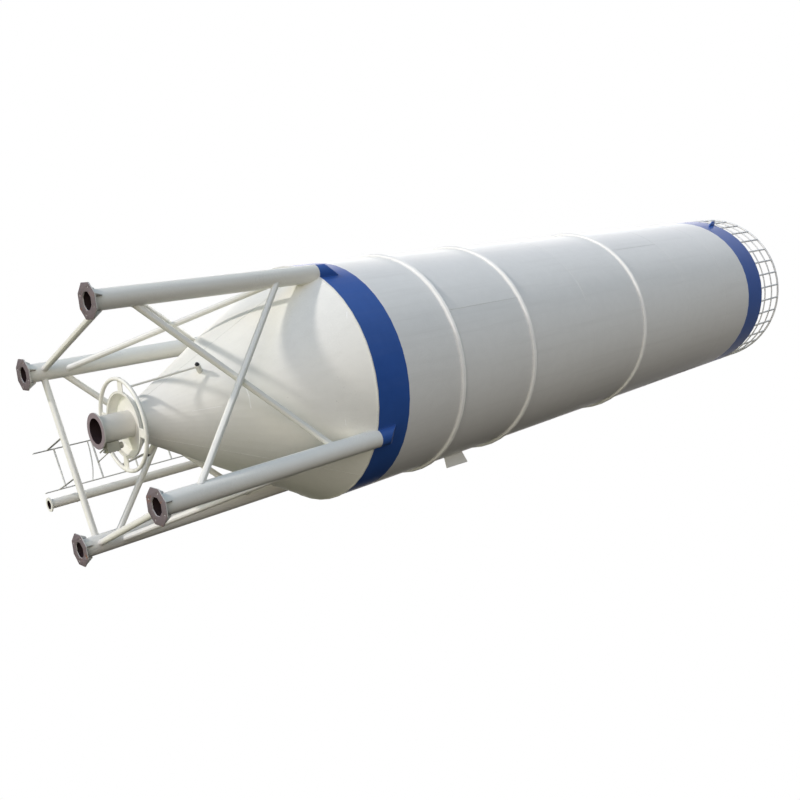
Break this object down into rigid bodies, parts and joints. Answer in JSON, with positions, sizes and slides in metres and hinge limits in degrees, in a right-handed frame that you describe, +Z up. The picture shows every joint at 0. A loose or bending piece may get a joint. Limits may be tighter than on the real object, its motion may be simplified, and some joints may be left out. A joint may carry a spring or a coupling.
{
  "type": "cement silo",
  "caption": "Upright cement silo: white cylindrical shell with blue bands and bead rings, hopper cone on four braced pipe legs, ladder, fill pipe and railed roof.",
  "frame": {"origin": "on the silo's axis in the plane of the foot plates", "axes": "+Z up along the silo's axis; -Y towards the side with no low strut; +Y towards the ladder and fill pipe"},
  "size_m": [3.2053, 3.2283, 14.235],
  "materials": {
    "shell_white": "gloss ivory white paint",
    "frame_cream": "satin cream paint",
    "band_blue": "gloss blue paint",
    "rail_grey": "satin pale grey paint",
    "primed_steel": "dull primer with rust",
    "dark_steel": "dark grey paint"
  },
  "bodies": {
    "root": {"air_feed_1": "frame_cream", "air_feed_2": "frame_cream", "air_ring": "frame_cream", "base_band": "band_blue", "brace_back_inner": "frame_cream", "brace_back_outer": "frame_cream", "brace_front_inner": "frame_cream", "brace_front_outer": "frame_cream", "brace_left_inner": "frame_cream", "brace_left_outer": "frame_cream", "brace_right_inner": "frame_cream", "brace_right_outer": "frame_cream", "discharge_pan": "frame_cream", "fill_pipe": "frame_cream", "foot_back_left": "primed_steel", "foot_back_right": "primed_steel", "foot_front_left": "primed_steel", "foot_front_right": "primed_steel", "guardrail_1": "rail_grey", "guardrail_2": "rail_grey", "guardrail_3": "rail_grey", "guardrail_4": "rail_grey", "hopper_cone": "frame_cream", "ladder": "rail_grey", "ladder_stay_left": "rail_grey", "ladder_stay_right": "rail_grey", "leg_back_left": "frame_cream", "leg_back_right": "frame_cream", "leg_front_left": "frame_cream", "leg_front_right": "frame_cream", "lifting_lug_1": "band_blue", "lifting_lug_2": "band_blue", "manhole_collar": "shell_white", "manhole_lid": "shell_white", "outlet_spout": "frame_cream", "outlet_valve": "dark_steel", "roof_plate": "shell_white", "shell_course_1": "shell_white", "shell_course_2": "shell_white", "shell_course_3": "shell_white", "shell_course_4": "shell_white", "shell_course_5": "shell_white", "shell_course_6": "shell_white", "shell_course_7": "shell_white", "stiffening_ring_1": "shell_white", "stiffening_ring_2": "shell_white", "stiffening_ring_3": "shell_white", "strut_back": "frame_cream", "strut_left": "frame_cream", "strut_right": "frame_cream", "top_band": "band_blue", "transport_lug": "shell_white", "wall_bracket_1": "rail_grey", "wall_bracket_2": "rail_grey", "wall_bracket_3": "rail_grey", "wall_bracket_4": "rail_grey", "wall_bracket_5": "rail_grey"}
  },
  "joints": []
}
